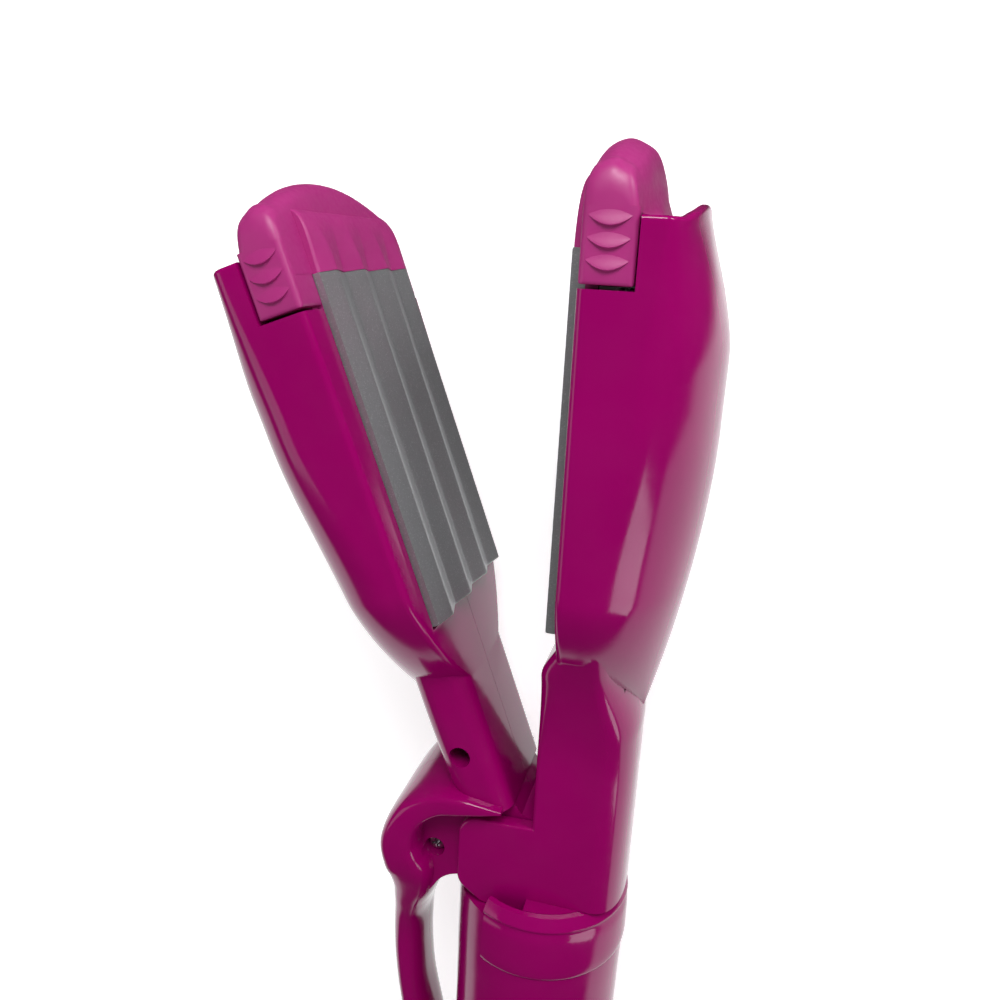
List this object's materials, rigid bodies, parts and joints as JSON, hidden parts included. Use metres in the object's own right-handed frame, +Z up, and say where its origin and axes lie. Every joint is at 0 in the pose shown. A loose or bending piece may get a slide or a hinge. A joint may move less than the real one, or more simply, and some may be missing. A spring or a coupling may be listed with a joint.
{
  "type": "hair crimping iron",
  "caption": "Hand-held hair crimping iron: a sprung two-arm jaw with a finger lever on a round handle, and wavy plates on slide-off cartridges.",
  "frame": {"origin": "middle of the bounding box seen from above, at the height of the lowest point", "axes": "+Y from the cord end to the tips along the fixed arm, +Z up along the hinge axis, +X towards the fixed arm's back"},
  "size_m": [0.0896, 0.2834, 0.0555],
  "materials": {
    "shell": "glossy magenta ABS",
    "carrier": "satin pink heat-resistant moulding",
    "crimp_metal": "grey coated aluminium with fine sparkle",
    "hot_plate": "plain aluminium plate",
    "element_film": "amber insulating film round the heater",
    "steel": "bright plated steel",
    "brass": "plain brass",
    "ceramic": "pale ceramic body",
    "wire": "pale silicone insulation",
    "board": "green circuit board",
    "led": "red lamp body",
    "lens": "pale pink light window",
    "dark_plastic": "black moulding",
    "knob": "dark plum slide knob",
    "bush": "dark plum cord bush"
  },
  "bodies": {
    "handle": {"handle_shell_near": "shell", "handle_shell_far": "shell", "collar_ring": "shell", "pivot_pin": "steel", "closing_spring": "steel", "fixed_heater_plate": "hot_plate", "fixed_heater_element": "element_film", "fixed_heater_clip": "steel", "thermal_fuse": "ceramic", "fixed_lead_wires": "wire", "fixed_latch_spring": "brass", "control_board": "board", "power_led": "led", "led_lens": "lens", "switch_block": "dark_plastic", "end_cap": "shell", "swivel_retainer": "dark_plastic", "shell_screws": "steel"},
    "switch": {"switch_knob": "knob"},
    "cord_swivel": {"cord_bush": "bush"},
    "jaw": {"jaw_shell_near": "shell", "jaw_shell_far": "shell", "lever_pad": "shell", "pivot_bushes": "brass", "jaw_heater_plate": "hot_plate", "jaw_heater_element": "element_film", "jaw_heater_clip": "steel", "jaw_thermostat": "dark_plastic", "jaw_lead_wires": "wire", "jaw_latch_spring": "brass", "jaw_screws": "steel"},
    "fixed_cartridge": {"fixed_carrier": "carrier", "fixed_crimp_plate": "crimp_metal"},
    "jaw_cartridge": {"jaw_carrier": "carrier", "jaw_crimp_plate": "crimp_metal"}
  },
  "joints": [
    {"name": "jaw_hinge", "type": "hinge", "parent": "handle", "child": "jaw", "pos_m": [0.01412, 0.00456, 0.02775], "axis": [0, 0, 1], "range_deg": [-21, 0], "stiffness_Nm_per_rad": 0.8, "springref_deg": -34.38},
    {"name": "fixed_cartridge_slide", "type": "slide", "parent": "handle", "child": "fixed_cartridge", "axis": [0, 1, 0], "range_m": [0, 0.075]},
    {"name": "jaw_cartridge_slide", "type": "slide", "parent": "jaw", "child": "jaw_cartridge", "axis": [-0.3584, 0.9336, 0], "range_m": [0, 0.075]},
    {"name": "switch_slide", "type": "slide", "parent": "handle", "child": "switch", "axis": [0, 1, 0], "range_m": [0, 0.006]},
    {"name": "cord_swivel_turn", "type": "hinge", "parent": "handle", "child": "cord_swivel", "pos_m": [0.01908, -0.1344, 0.02775], "axis": [0, -1, 0], "continuous": true}
  ]
}
